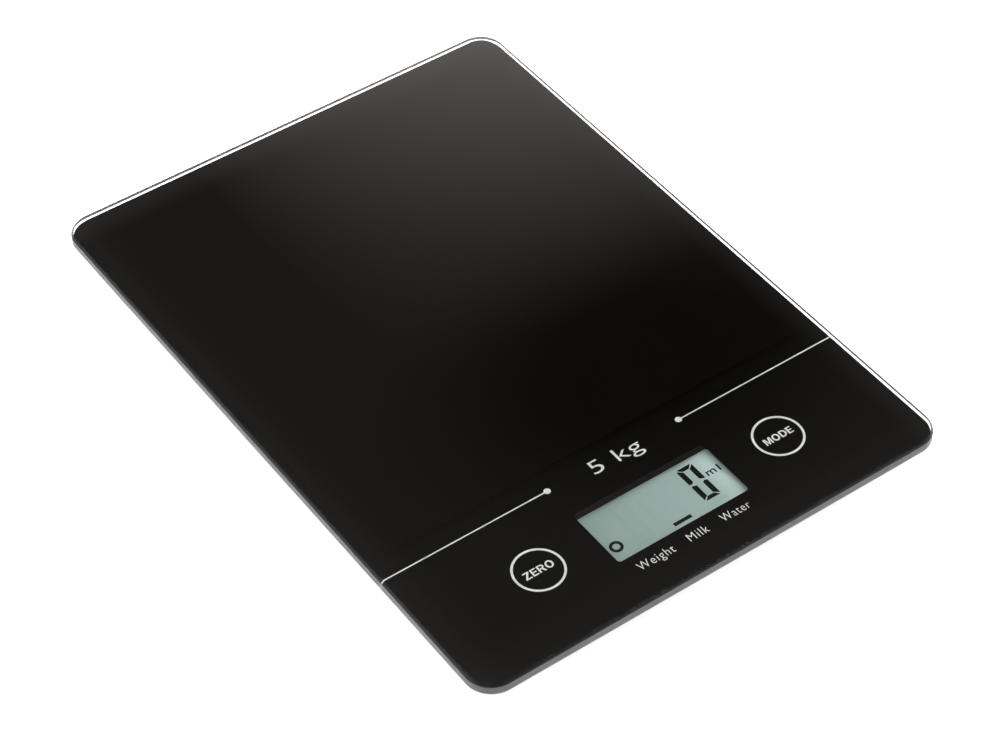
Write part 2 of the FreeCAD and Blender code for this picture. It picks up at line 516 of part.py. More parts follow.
# ----------------------------------------------------------- wiring
WZ = 8.25
for colour, off in (("red", -1.2), ("black", 0.0), ("white", 1.2)):
    runs = []
    for s in (-1, 1):
        gx = s * (FOOT_X - 9.5)          # inner end of the gauge compound
        # front cells: a short run on to the side of the board
        y = -FOOT_Y + off
        runs.append(tube([(gx, y, WZ), (s * 29.4, y, WZ), (s * 29.4, y, PCB_TOP)], 0.45, 0.8))
        # back cells: down the middle of the housing to the back of the board
        lane = s * (24.5 - off)
        runs.append(tube([(gx, FOOT_Y + off, WZ), (lane, FOOT_Y + off, WZ), (lane, -64.0, WZ),
                          (lane, -64.0, PCB_TOP)], 0.45, 2.2))
    save("sensor_wires_" + colour, Part.makeCompound(runs))
bw = []
bz = CEIL_Z - 0.1
for s in (-1, 1):
    bw.append(tube([(s * 6.0, BAT_Y - BOX_Y / 2 - 2.0, bz), (s * 6.0, -18.0, bz), (s * 2.4, -40.0, bz),
                    (s * 2.4, -62.6, bz), (s * 2.4, -62.6, PCB_TOP)], 0.5, 4.0))
save("battery_wire_black", bw[0])
save("battery_wire_red", bw[1])

if __name__ == "__main__":
    bb = Part.makeCompound(list(nodes.values())).BoundBox
    print(len(nodes), "nodes; box", [round(v, 3) for v in
          (bb.XMin, bb.XMax, bb.YMin, bb.YMax, bb.ZMin, bb.ZMax)])
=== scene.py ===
import bpy
import bmesh
import math
from mathutils import Matrix, Vector


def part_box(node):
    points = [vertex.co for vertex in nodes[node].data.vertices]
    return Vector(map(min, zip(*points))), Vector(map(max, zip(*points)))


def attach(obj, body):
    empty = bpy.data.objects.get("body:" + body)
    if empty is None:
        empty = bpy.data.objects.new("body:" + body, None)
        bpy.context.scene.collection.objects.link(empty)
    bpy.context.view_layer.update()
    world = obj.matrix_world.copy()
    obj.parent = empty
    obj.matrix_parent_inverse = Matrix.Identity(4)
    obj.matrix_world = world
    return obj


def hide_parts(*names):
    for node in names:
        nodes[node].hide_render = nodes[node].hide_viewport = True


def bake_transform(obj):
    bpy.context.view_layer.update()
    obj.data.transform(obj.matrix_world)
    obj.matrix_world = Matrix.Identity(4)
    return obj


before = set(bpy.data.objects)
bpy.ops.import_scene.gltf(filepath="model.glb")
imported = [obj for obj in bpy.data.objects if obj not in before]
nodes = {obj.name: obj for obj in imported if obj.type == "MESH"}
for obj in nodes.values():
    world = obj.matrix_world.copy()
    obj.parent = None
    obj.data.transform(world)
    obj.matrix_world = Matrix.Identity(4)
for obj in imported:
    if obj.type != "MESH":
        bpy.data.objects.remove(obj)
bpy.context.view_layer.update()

MM = 0.001

# ------------------------------------------------------------------ sizes
# All taken from the frame, so the looks stay on the CAD parts.
g_lo, g_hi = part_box("glass_platform")
GX0, GY0, GZ0 = (v / MM for v in g_lo)
GX1, GY1, GZ1 = (v / MM for v in g_hi)
FRONT = GY0
CORNER_R = 8.5
CHAMFER = 0.75
p_lo, p_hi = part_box("lcd_panel")
LCD_TOP = p_hi[2] / MM
film_lo, film_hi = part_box("black_print")
FILM_Z = film_lo[2] / MM


# ------------------------------------------------------------ mesh helpers
def new_object(name, bm, mats=()):
    bmesh.ops.recalc_face_normals(bm, faces=bm.faces)
    me = bpy.data.meshes.new(name)
    bm.to_mesh(me)
    bm.free()
    ob = bpy.data.objects.new(name, me)
    bpy.context.scene.collection.objects.link(ob)
    for m in mats:
        me.materials.append(m)
    return ob


def rr_points(x0, x1, y0, y1, r, n):
    """Rounded rectangle, counter-clockwise, n segments in each corner."""
    pts = []
    for cx, cy, a0 in ((x1 - r, y0 + r, -90), (x1 - r, y1 - r, 0),
                       (x0 + r, y1 - r, 90), (x0 + r, y0 + r, 180)):
        for i in range(n + 1):
            a = math.radians(a0 + 90.0 * i / n)
            pts.append((cx + r * math.cos(a), cy + r * math.sin(a)))
    return pts


def ring_verts(bm, pts, z):
    return [bm.verts.new((x * MM, y * MM, z * MM)) for x, y in pts]


def skin(bm, a, b, mat=0, smooth=True):
    n = len(a)
    for i in range(n):
        f = bm.faces.new((a[i], a[(i + 1) % n], b[(i + 1) % n], b[i]))
        f.material_index = mat
        f.smooth = smooth


def slab(bm, outline, z0, z1, holes=(), mat=0):
    """Closed flat slab from an outline, with holes, by extruding a filled face."""
    loops = []
    for pts in (outline,) + tuple(holes):
        vs = ring_verts(bm, pts, z0)
        es = [bm.edges.new((vs[i], vs[(i + 1) % len(vs)])) for i in range(len(vs))]
        loops.append((vs, es))
    edges = [e for _, es in loops for e in es]
    if holes:
        out = bmesh.ops.triangle_fill(bm, edges=edges, use_beauty=True, use_dissolve=False)
        low = [g for g in out["geom"] if isinstance(g, bmesh.types.BMFace)]
    else:
        low = [bm.faces.new(loops[0][0])]
    ext = bmesh.ops.extrude_face_region(bm, geom=low, use_keep_orig=True)
    up = [g for g in ext["geom"] if isinstance(g, bmesh.types.BMVert)]
    bmesh.ops.translate(bm, verts=up, vec=(0, 0, (z1 - z0) * MM))
    for f in bm.faces:
        f.material_index = mat


def circle(x, y, r, n=64):
    return [(x + r * math.cos(2 * math.pi * i / n), y + r * math.sin(2 * math.pi * i / n))
            for i in range(n)]


def ring_mesh(bm, x, y, r_out, r_in, z0, z1, n=96):
    lo = [ring_verts(bm, circle(x, y, r, n), z0) for r in (r_out, r_in)]
    hi = [ring_verts(bm, circle(x, y, r, n), z1) for r in (r_out, r_in)]
    skin(bm, lo[0], hi[0], smooth=False)
    skin(bm, hi[1], lo[1], smooth=False)
    skin(bm, hi[0], hi[1], smooth=False)
    skin(bm, lo[1], lo[0], smooth=False)


def poly(bm, pts, z0, z1):
    lo = ring_verts(bm, pts, z0)
    hi = ring_verts(bm, pts, z1)
    bm.faces.new(list(reversed(lo)))
    bm.faces.new(hi)
    skin(bm, lo, hi, smooth=False)


# -------------------------------------------------------- material helpers
class Nodes:
    """Small helper to write node trees in a few lines."""

    def __init__(self, tree):
        self.t = tree
        self.n = tree.nodes
        self.l = tree.links

    def new(self, kind, **props):
        node = self.n.new(kind)
        for k, v in props.items():
            setattr(node, k, v)
        return node

    def put(self, socket, value):
        if isinstance(value, bpy.types.NodeSocket):
            self.l.new(value, socket)
        else:
            socket.default_value = value

    def math(self, op, a, b=None, c=None, clamp=False):
        n = self.new("ShaderNodeMath", operation=op, use_clamp=clamp)
        for i, v in enumerate((a, b, c)):
            if v is not None:
                self.put(n.inputs[i], v)
        return n.outputs[0]

    def rng(self, value, a, b, c, d, smooth=False):
        n = self.new("ShaderNodeMapRange")
        n.interpolation_type = "SMOOTHSTEP" if smooth else "LINEAR"
        n.clamp = True
        self.put(n.inputs["Value"], value)
        for key, v in (("From Min", a), ("From Max", b), ("To Min", c), ("To Max", d)):
            self.put(n.inputs[key], v)
        return n.outputs["Result"]

    def coord(self):
        return self.new("ShaderNodeTexCoord").outputs["Object"]

    def noise(self, scale, detail=4.0, rough=0.5, vec=None, distortion=0.0):
        n = self.new("ShaderNodeTexNoise")
        self.put(n.inputs["Vector"], vec if vec is not None else self.coord())
        n.inputs["Scale"].default_value = scale
        n.inputs["Detail"].default_value = detail
        n.inputs["Roughness"].default_value = rough
        n.inputs["Distortion"].default_value = distortion
        return n.outputs["Fac"]

    def voronoi(self, scale, vec=None, feature="F1"):
        n = self.new("ShaderNodeTexVoronoi", feature=feature)
        self.put(n.inputs["Vector"], vec if vec is not None else self.coord())
        n.inputs["Scale"].default_value = scale
        return n.outputs["Distance"]

    def mix(self, fac, a, b):
        n = self.new("ShaderNodeMix", data_type="RGBA")
        self.put(n.inputs[0], fac)
        self.put(n.inputs[6], a)
        self.put(n.inputs[7], b)
        return n.outputs[2]

    def bump(self, height, strength, distance):
        n = self.new("ShaderNodeBump")
        n.inputs["Strength"].default_value = strength
        n.inputs["Distance"].default_value = distance
        self.put(n.inputs["Height"], height)
        return n.outputs["Normal"]

    def scaled(self, sx, sy, sz):
        m = self.new("ShaderNodeMapping")
        self.put(m.inputs["Vector"], self.coord())
        m.inputs["Scale"].default_value = (sx, sy, sz)
        return m.outputs["Vector"]


def rgba(c):
    return (c[0], c[1], c[2], 1.0)


def base_material(name, colour=(0.5, 0.5, 0.5), rough=0.5, metallic=0.0, spec=0.5, ior=1.5):
    m = bpy.data.materials.new(name)
    m.use_nodes = True
    k = Nodes(m.node_tree)
    p = m.node_tree.nodes["Principled BSDF"]
    p.inputs["Base Color"].default_value = rgba(colour)
    p.inputs["Roughness"].default_value = rough
    p.inputs["Metallic"].default_value = metallic
    p.inputs["Specular IOR Level"].default_value = spec
    p.inputs["IOR"].default_value = ior
    m.diffuse_color = rgba(colour)
    return m, k, p


def moulded(name, colour, rough, grain=2600.0, depth=0.00002, strength=0.35, spec=0.45):
    """Moulded plastic: spark-eroded grain, faint flow marks, slightly uneven gloss."""
    m, k, p = base_material(name, colour, rough, spec=spec)
    fine = k.noise(grain, 3.0, 0.55)
    cells = k.voronoi(grain * 0.62)
    flow = k.noise(26.0, 3.0, 0.5)
    dust = k.noise(900.0, 6.0, 0.7)
    dark = tuple(c * 0.82 for c in colour)
    light = tuple(min(1.0, c * 1.2 + 0.004) for c in colour)
    col = k.mix(k.rng(flow, 0.35, 0.65, 0.0, 1.0, True), rgba(dark), rgba(light))
    col = k.mix(k.rng(dust, 0.62, 0.78, 0.0, 0.22, True), col, rgba(tuple(c * 1.5 + 0.02 for c in colour)))
    k.put(p.inputs["Base Color"], col)
    k.put(p.inputs["Roughness"], k.rng(flow, 0.3, 0.7, rough - 0.06, rough + 0.07))
    h = k.math("ADD", fine, k.math("MULTIPLY", cells, 0.6))
    k.put(p.inputs["Normal"], k.bump(h, strength, depth))
    return m


def metal(name, colour, rough, brush=(1.0, 1.0, 1.0), brush_scale=900.0, strength=0.12):
    """Plated or brushed metal: drawn lines and cloudy tarnish."""
    m, k, p = base_material(name, colour, rough, metallic=1.0)
    lines = k.noise(brush_scale, 5.0, 0.65, k.scaled(*brush))
    cloud = k.noise(140.0, 3.0, 0.5)
    col = k.mix(k.rng(cloud, 0.35, 0.7, 0.0, 1.0, True), rgba(tuple(c * 0.86 for c in colour)),
                rgba(tuple(min(1.0, c * 1.06) for c in colour)))
    k.put(p.inputs["Base Color"], col)
    k.put(p.inputs["Roughness"], k.rng(lines, 0.3, 0.7, max(0.05, rough - 0.09), rough + 0.1))
    k.put(p.inputs["Normal"], k.bump(lines, strength, 0.00001))
    return m


def rubber(name, colour, rough=0.75, grain=1800.0, spec=0.25):
    m, k, p = base_material(name, colour, rough, spec=spec)
    fine = k.noise(grain, 5.0, 0.6)
    bloom = k.noise(220.0, 4.0, 0.6)
    col = k.mix(k.rng(bloom, 0.4, 0.72, 0.0, 0.5, True), rgba(colour),
                rgba(tuple(c * 1.45 + 0.01 for c in colour)))
    k.put(p.inputs["Base Color"], col)
    k.put(p.inputs["Roughness"], k.rng(bloom, 0.3, 0.7, rough - 0.08, min(1.0, rough + 0.1)))
    k.put(p.inputs["Normal"], k.bump(fine, 0.4, 0.00003))
    return m


def foam(name, colour, cell=2200.0):
    m, k, p = base_material(name, colour, 0.9, spec=0.15)
    cells = k.voronoi(cell)
    tone = k.noise(500.0, 4.0, 0.6)
    # painted shade: the pore centres, where the bump sinks pits, are painted darker
    col = k.mix(k.rng(cells, 0.0, 0.6, 0.0, 1.0), rgba(tuple(c * 0.55 for c in colour)),
                rgba(tuple(c * 1.15 for c in colour)))
    k.put(p.inputs["Base Color"], k.mix(k.rng(tone, 0.3, 0.7, 0.0, 0.3), col, rgba(colour)))
    k.put(p.inputs["Normal"], k.bump(cells, 0.6, 0.00008))
    return m


def wire_skin(name, colour):
    m, k, p = base_material(name, colour, 0.38, spec=0.5)
    n = k.noise(1200.0, 3.0, 0.5)
    k.put(p.inputs["Base Color"], k.mix(k.rng(n, 0.35, 0.7, 0.0, 1.0), rgba(tuple(c * 0.82 for c in colour)),
                                        rgba(colour)))
    k.put(p.inputs["Roughness"], k.rng(n, 0.3, 0.7, 0.3, 0.48))
    return m


# ------------------------------------------------------------- materials
# Polished float glass.
glass_clear, k, p = base_material("glass_polished", (0.97, 0.99, 0.98), 0.0, ior=1.5)
p.inputs["Transmission Weight"].default_value = 1.0
# barely visible waviness of tempered glass, at most a few thousandths of a degree of tilt
wave = k.noise(22.0, 1.0, 0.4)
k.put(p.inputs["Normal"], k.bump(wave, 0.02, 0.0002))
k.put(p.inputs["Base Color"], k.mix(k.noise(60.0, 2.0), (0.965, 0.99, 0.98, 1), (0.975, 0.992, 0.985, 1)))

# The same polished face where solid black lies right behind it.
glass_over_black, k, p = base_material("glass_over_black", (0.0011, 0.0010, 0.0008), 0.0, ior=1.5)
wave = k.noise(22.0, 1.0, 0.4)
k.put(p.inputs["Normal"], k.bump(wave, 0.02, 0.0002))
k.put(p.inputs["Base Color"], k.mix(k.noise(45.0, 3.0), (0.0009, 0.0008, 0.0007, 1), (0.0013, 0.0012, 0.0010, 1)))

# The ground rim: fine grinding marks along the edge, sea-green tint.
glass_ground, k, p = base_material("glass_ground_rim", (0.80, 0.88, 0.85), 0.42, ior=1.5)
p.inputs["Transmission Weight"].default_value = 0.96
marks = k.noise(700.0, 5.0, 0.65, k.scaled(1.0, 1.0, 9.0))
pits = k.voronoi(2600.0)
k.put(p.inputs["Base Color"], k.mix(k.rng(marks, 0.3, 0.7, 0.0, 1.0), (0.69, 0.685, 0.667, 1), (0.79, 0.785, 0.767, 1)))
k.put(p.inputs["Roughness"], k.rng(marks, 0.3, 0.7, 0.34, 0.52))
k.put(p.inputs["Normal"], k.bump(k.math("ADD", marks, k.math("MULTIPLY", pits, 0.5)), 0.35, 0.00002))

# Inks, seen through the glass.  No gloss of their own there: the glass has it.
ink_black, k, p = base_material("ink_black_face", (0.0014, 0.0012, 0.0010), 0.9, spec=0.0)
n = k.noise(45.0, 3.0, 0.5)
k.put(p.inputs["Base Color"], k.mix(n, (0.0026, 0.0024, 0.0020, 1), (0.0034, 0.0032, 0.0027, 1)))
ink_black_back, k, p = base_material("ink_black_back", (0.012, 0.0115, 0.011), 0.32, spec=0.5)
n = k.noise(1500.0, 4.0, 0.55)
big = k.noise(30.0, 2.0)
k.put(p.inputs["Base Color"], k.mix(big, (0.010, 0.0095, 0.009, 1), (0.016, 0.015, 0.0145, 1)))
k.put(p.inputs["Roughness"], k.rng(big, 0.35, 0.65, 0.26, 0.4))
k.put(p.inputs["Normal"], k.bump(n, 0.25, 0.00001))
ink_white, k, p = base_material("ink_white", (0.86, 0.86, 0.84), 0.9, spec=0.0)
n = k.noise(1600.0, 4.0, 0.6)
k.put(p.inputs["Base Color"], k.mix(k.rng(n, 0.3, 0.7, 0.0, 1.0), (0.91, 0.91, 0.885, 1), (0.97, 0.97, 0.95, 1)))

# The display: reflective grey-green film under its glass, painted lighter to the right: painted light, as if lit from
# the left.
lcd_face, k, p = base_material("lcd_polariser", (0.30, 0.38, 0.35), 0.6, spec=0.12)
sep = k.new("ShaderNodeSeparateXYZ")
k.put(sep.inputs[0], k.coord())
painted_light_x = k.rng(sep.outputs["X"], -0.022, 0.024, 0.0, 1.0)
cloud = k.noise(90.0, 3.0, 0.5)
fine = k.noise(5200.0, 2.0, 0.5)
painted_light_colour = k.mix(painted_light_x, (0.265, 0.345, 0.328, 1), (0.385, 0.49, 0.47, 1))
# painted highlight: a brighter band at the right end, painted over the shade that the gasket wall casts there
painted_light_colour = k.mix(k.rng(sep.outputs["X"], 0.013, 0.0235, 0.0, 1.0, True), painted_light_colour, (0.60, 0.74, 0.72, 1))
c2 = k.mix(k.rng(cloud, 0.3, 0.7, 0.0, 0.35), painted_light_colour, (0.33, 0.41, 0.345, 1))
k.put(p.inputs["Base Color"], k.mix(k.rng(fine, 0.35, 0.65, 0.0, 0.12), c2, (0.40, 0.49, 0.46, 1)))
k.put(p.inputs["Normal"], k.bump(fine, 0.05, 0.00001))
lcd_on, k, p = base_material("lcd_segment_on", (0.004, 0.007, 0.007), 0.7, spec=0.0)
n = k.noise(2600.0, 3.0, 0.5)
k.put(p.inputs["Base Color"], k.mix(n, (0.0004, 0.0012, 0.0010, 1), (0.0009, 0.0024, 0.0020, 1)))
lcd_off, k, p = base_material("lcd_segment_off", (0.22, 0.27, 0.24), 0.6, spec=0.12)
# painted light: the resting segments are painted lighter to the right, the same as the film around them
sep = k.new("ShaderNodeSeparateXYZ")
k.put(sep.inputs[0], k.coord())
painted_light_x = k.rng(sep.outputs["X"], -0.022, 0.024, 0.0, 1.0)
k.put(p.inputs["Base Color"], k.mix(painted_light_x, (0.265, 0.345, 0.322, 1), (0.385, 0.487, 0.46, 1)))

gasket_mat = foam("gasket_foam", (0.0065, 0.0052, 0.0045))
tape_mat = foam("acrylic_foam_tape", (0.022, 0.022, 0.022), 3000.0)
foam_pad_mat = foam("cover_foam_grey", (0.09, 0.09, 0.095), 1400.0)
inner_mat = moulded("inner_black_abs", (0.022, 0.022, 0.023), 0.52)
housing_mat = moulded("housing_black_abs", (0.026, 0.026, 0.027), 0.56, grain=2300.0, strength=0.5)
cover_mat = moulded("cover_black_abs", (0.028, 0.028, 0.029), 0.50, grain=2700.0, strength=0.4)
foot_mat = moulded("foot_black_abs", (0.024, 0.024, 0.025), 0.46, grain=3000.0, strength=0.35)
pad_mat = rubber("foot_rubber_grey", (0.058, 0.058, 0.060))
zebra_mat, k, p = base_material("zebra_silicone", (0.5, 0.4, 0.45), 0.6)
w = k.new("ShaderNodeTexWave", wave_type="BANDS", bands_direction="X")
k.put(w.inputs["Vector"], k.coord())
w.inputs["Scale"].default_value = 1500.0
k.put(p.inputs["Base Color"], k.mix(k.rng(w.outputs["Fac"], 0.4, 0.6, 0.0, 1.0), (0.02, 0.02, 0.02, 1), (0.62, 0.47, 0.50, 1)))
reflector_mat = metal("reflector_satin", (0.72, 0.76, 0.72), 0.4)
screw_mat = metal("screw_zinc", (0.56, 0.55, 0.52), 0.3, strength=0.2)
cell_mat = metal("coin_cell_steel", (0.66, 0.66, 0.65), 0.24, brush=(1.0, 9.0, 1.0))
contact_mat = metal("contact_nickel", (0.70, 0.68, 0.64), 0.2)
plate_mat = metal("strain_plate_steel", (0.52, 0.52, 0.52), 0.33, brush=(1.0, 14.0, 1.0))
foil_mat = metal("touch_foil", (0.70, 0.66, 0.60), 0.28, brush_scale=400.0, strength=0.3)
silicone_mat = rubber("silicone_white", (0.62, 0.62, 0.60), 0.45, 900.0, 0.4)
epoxy_mat, k, p = base_material("epoxy_drop", (0.010, 0.010, 0.010), 0.14)
n = k.noise(420.0, 3.0, 0.5)
k.put(p.inputs["Roughness"], k.rng(n, 0.3, 0.7, 0.08, 0.24))
k.put(p.inputs["Normal"], k.bump(n, 0.12, 0.00006))
k.put(p.inputs["Base Color"], k.mix(n, (0.006, 0.006, 0.006, 1), (0.016, 0.016, 0.016, 1)))
chip_mat = moulded("chip_package", (0.018, 0.018, 0.018), 0.62, grain=4000.0)
cap_mat, k, p = base_material("ceramic_capacitor", (0.42, 0.29, 0.17), 0.35)
sep = k.new("ShaderNodeSeparateXYZ")
k.put(sep.inputs[0], k.coord())
n = k.noise(3000.0, 3.0, 0.5)
k.put(p.inputs["Base Color"], k.mix(k.rng(n, 0.35, 0.65, 0.0, 1.0), (0.36, 0.24, 0.14, 1), (0.48, 0.34, 0.21, 1)))
# green board: fine traces under the mask, with a slight weave of the laminate
board_mat, k, p = base_material("board_solder_mask", (0.012, 0.11, 0.045), 0.28, spec=0.5)
brick = k.new("ShaderNodeTexBrick")
k.put(brick.inputs["Vector"], k.coord())
brick.inputs["Scale"].default_value = 260.0
brick.inputs["Mortar Size"].default_value = 0.06
brick.inputs["Color1"].default_value = (1, 1, 1, 1)
brick.inputs["Color2"].default_value = (0.8, 0.8, 0.8, 1)
brick.inputs["Mortar"].default_value = (0, 0, 0, 1)
weave = k.noise(2400.0, 2.0, 0.5)
trace = k.rng(brick.outputs["Fac"], 0.2, 0.8, 0.0, 1.0)
k.put(p.inputs["Base Color"], k.mix(trace, k.mix(weave, (0.010, 0.085, 0.035, 1), (0.014, 0.105, 0.045, 1)),
                                    (0.030, 0.19, 0.075, 1)))
k.put(p.inputs["Normal"], k.bump(trace, 0.3, 0.00004))
wire_red = wire_skin("wire_red_pvc", (0.42, 0.018, 0.014))
wire_black = wire_skin("wire_black_pvc", (0.014, 0.014, 0.014))
wire_white = wire_skin("wire_white_pvc", (0.72, 0.72, 0.70))

for name, mat in {
    "bonding_tape": tape_mat, "carrier_frame": inner_mat, "lower_housing": housing_mat,
    "housing_screws": screw_mat, "lcd_gasket": gasket_mat, "lcd_panel": lcd_face,
    "lcd_reflector": reflector_mat, "lcd_holder": inner_mat, "zebra_strip": zebra_mat,
    "main_board": board_mat, "board_screws": screw_mat, "processor_chip": epoxy_mat,
    "board_capacitors": cap_mat, "amplifier_chip": chip_mat, "touch_pad_zero": foil_mat,
    "touch_pad_mode": foil_mat, "touch_leads": wire_black, "coin_cell": cell_mat,
    "battery_contact_minus": contact_mat, "battery_contact_plus": contact_mat,
    "battery_cover": cover_mat, "cover_foam": foam_pad_mat, "strain_gauges": silicone_mat,
    "load_cell_screws": screw_mat, "sensor_wires_red": wire_red, "sensor_wires_black": wire_black,
    "sensor_wires_white": wire_white, "battery_wire_red": wire_red, "battery_wire_black": wire_black,
    "load_cell_front_left": plate_mat, "load_cell_front_right": plate_mat,
    "load_cell_back_left": plate_mat, "load_cell_back_right": plate_mat,
    "foot_cap_front_left": foot_mat, "foot_cap_front_right": foot_mat,
    "foot_cap_back_left": foot_mat, "foot_cap_back_right": foot_mat,
    "foot_pad_front_left": pad_mat, "foot_pad_front_right": pad_mat,
    "foot_pad_back_left": pad_mat, "foot_pad_back_right": pad_mat,
    "foot_screw_front_left": screw_mat, "foot_screw_front_right": screw_mat,
    "foot_screw_back_left": screw_mat, "foot_screw_back_right": screw_mat,
    "glass_platform": glass_clear, "black_print": ink_black, "white_print": ink_white,
}.items():
    ob = nodes[name]
    if not ob.material_slots:
        ob.data.materials.append(mat)
    for s in ob.material_slots:
        s.material = mat

# ------------------------------------------------------------ strain-gauge plates
# Each plate's frame stays on the housing. Its tongue, and the gauge on the neck, are cut out as pieces of their own.
def cut_from(node, keep, rows=()):
    bm = bmesh.new()
    bm.from_mesh(nodes[node].data)
    bm.transform(nodes[node].matrix_world)
    for x in rows:
        bmesh.ops.bisect_plane(bm, geom=bm.verts[:] + bm.edges[:] + bm.faces[:],
                               plane_co=(x, 0, 0), plane_no=(1, 0, 0), dist=1e-7)
    drop = [f for f in bm.faces if not keep(f.calc_center_median())]
    bmesh.ops.delete(bm, geom=drop, context="FACES")
    bmesh.ops.delete(bm, geom=[v for v in bm.verts if not v.link_faces], context="VERTS")
    return bm


bpy.context.view_layer.update()
for corner in ("front_left", "front_right", "back_left", "back_right"):
    c_lo, c_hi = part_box("foot_cap_" + corner)
    fx, fy = (c_lo[0] + c_hi[0]) / 2, (c_lo[1] + c_hi[1]) / 2
    side = 1 if fx > 0 else -1
    rows = [fx + side * v * MM for v in (-9.0, -7.8, -6.6, -5.4, -4.2)]

    def on_tongue(c):
        u = (c[0] - fx) * side / MM
        return -9.0 < u < 8.2 and abs(c[1] - fy) < 6.45 * MM

    fixed = new_object("load_cell_frame_" + corner,
                       cut_from("load_cell_" + corner, lambda c: not on_tongue(c), rows), (plate_mat,))
    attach(fixed, "platform")
    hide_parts("load_cell_" + corner)
    bent = [new_object("load_cell_tongue_" + corner,
                       cut_from("load_cell_" + corner, on_tongue, rows), (plate_mat,)),
            new_object("strain_gauge_" + corner,
                       cut_from("strain_gauges", lambda c: abs(c[0] - fx) < 20 * MM and abs(c[1] - fy) < 20 * MM, rows),
                       (silicone_mat,))]
    for ob, slot in zip(bent, ("cell_plate_steel", "silicone_white")):
        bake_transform(ob)
    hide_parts("strain_gauges")

# ------------------------------------------------------------ glass plate
# Rim profile from the underside up: inset and height, with small rounded arrises.
# The upper chamfer is a little steeper than the lower one.
a = 0.035
b = a * math.sqrt(0.5)
CW, CD = 0.68, 0.90
LO = 0.55
profile = [(LO + a, GZ0), (LO + a * 0.38, GZ0 + a * 0.05), (LO - b, GZ0 + b),
           (b, GZ0 + LO - b), (a * 0.06, GZ0 + LO + a * 0.36), (0.0, GZ0 + LO + a),
           (0.0, GZ1 - CD - a), (a * 0.06, GZ1 - CD - a * 0.36), (b, GZ1 - CD + b),
           (CW - b, GZ1 - b), (CW + a * 0.38, GZ1 - a * 0.05), (CW + a, GZ1)]
bm = bmesh.new()
rings = []
for inset, z in profile:
    rings.append(ring_verts(bm, rr_points(GX0 + inset, GX1 - inset, GY0 + inset, GY1 - inset,
                                          CORNER_R - inset, 28), z))
bottom = bm.faces.new(list(reversed(rings[0])))
bottom.smooth = False
# Over solid black the top is one closed zone; the rest stays clear down to the prints and the rim.
zone = ring_verts(bm, rr_points(GX0 + 2.5, GX1 - 2.5, FRONT + 56.0, GY1 - 2.6, 5.9, 14), GZ1)
loops = []
for loop in (rings[-1], zone):
    loops += [bm.edges.new((loop[i], loop[(i + 1) % len(loop)])) for i in range(len(loop))]
fill = bmesh.ops.triangle_fill(bm, edges=loops, use_beauty=True, use_dissolve=False)
for g in fill["geom"]:
    if isinstance(g, bmesh.types.BMFace):
        g.smooth = False
zone_face = bm.faces.new(zone)
zone_face.smooth = False
zone_face.material_index = 2
for i in range(len(rings) - 1):
    skin(bm, rings[i], rings[i + 1], mat=1 if 3 <= i <= 7 else 0, smooth=True)
plate = new_object("glass_plate", bm, (glass_clear, glass_ground, glass_over_black))
plate.data.set_sharp_from_angle(angle=math.radians(50))
for f in plate.data.polygons:
    f.use_smooth = len(f.vertices) == 4 and abs(f.normal.z) < 0.999
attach(plate, "platform")
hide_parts("glass_platform")

# ------------------------------------------------------------- back print
WIN = (-22.8, 22.7, FRONT + 17.2, FRONT + 38.6, 1.1)
INK_TOP = GZ0 + 0.02
bm = bmesh.new()
EDGE = 0.62
outline = rr_points(GX0 + EDGE, GX1 - EDGE, GY0 + EDGE, GY1 - EDGE, CORNER_R - EDGE, 24)
window = rr_points(*WIN[:4], WIN[4], 10)
slab(bm, outline, FILM_Z, INK_TOP, (window,))
bm.normal_update()
black = new_object("black_back_print", bm, (ink_black, ink_black_back))
for f in black.data.polygons:
    if f.normal.z < -0.5:
        f.material_index = 1
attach(black, "platform")
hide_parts("black_print")

# White marks sit a hair above the black one, inside the glass.
MARK0, MARK1 = GZ0 + 0.004, GZ0 + 0.04
KEY_X, KEY_Y, KEY_R, KEY_STROKE = 42.0, FRONT + 28.15, 7.4, 0.72
LINE_Y, LINE_W, LINE_IN, DOT_R = FRONT + 50.05, 0.42, 23.2, 1.05
bm = bmesh.new()
for s in (-1, 1):
    ring_mesh(bm, s * KEY_X, KEY_Y, KEY_R + KEY_STROKE / 2, KEY_R - KEY_STROKE / 2, MARK0, MARK1)
    # one outline for the line and its end dot
    half = LINE_W / 2
    end = GX1 - CHAMFER - 0.15
    a0 = math.asin(half / DOT_R)
    pts = [(s * end, LINE_Y + s * half), (s * end, LINE_Y - s * half)][::1]
    arc = []
    for i in range(49):
        t = a0 + (2 * math.pi - 2 * a0) * i / 48
        arc.append((s * (LINE_IN + DOT_R * math.cos(t)), LINE_Y + s * DOT_R * math.sin(t)))
    outline = [(s * end, LINE_Y - s * half), (s * end, LINE_Y + s * half)] + arc
    poly(bm, outline, MARK0, MARK1)
marks_ob = new_object("white_marks", bm, (ink_white,))
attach(marks_ob, "platform")
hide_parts("white_print")


# --------------------------------------------------------------- lettering
def text_mesh(body, spacing=1.0, bold=0.0):
    cu = bpy.data.curves.new("txt", "FONT")
    cu.body = body
    cu.size = 10.0
    cu.space_character = spacing
    cu.offset = bold
    cu.extrude = 0.5
    cu.resolution_u = 6
    ob = bpy.data.objects.new("txt", cu)
    bpy.context.scene.collection.objects.link(ob)
    bpy.context.view_layer.update()
    dg = bpy.context.evaluated_depsgraph_get()
    me = bpy.data.meshes.new_from_object(ob.evaluated_get(dg), depsgraph=dg)
    bpy.data.objects.remove(ob)
    bpy.data.curves.remove(cu)
    return me


def limits(me):
    xs = [v.co.x for v in me.vertices]
    ys = [v.co.y for v in me.vertices]
    return min(xs), max(xs), min(ys), max(ys)


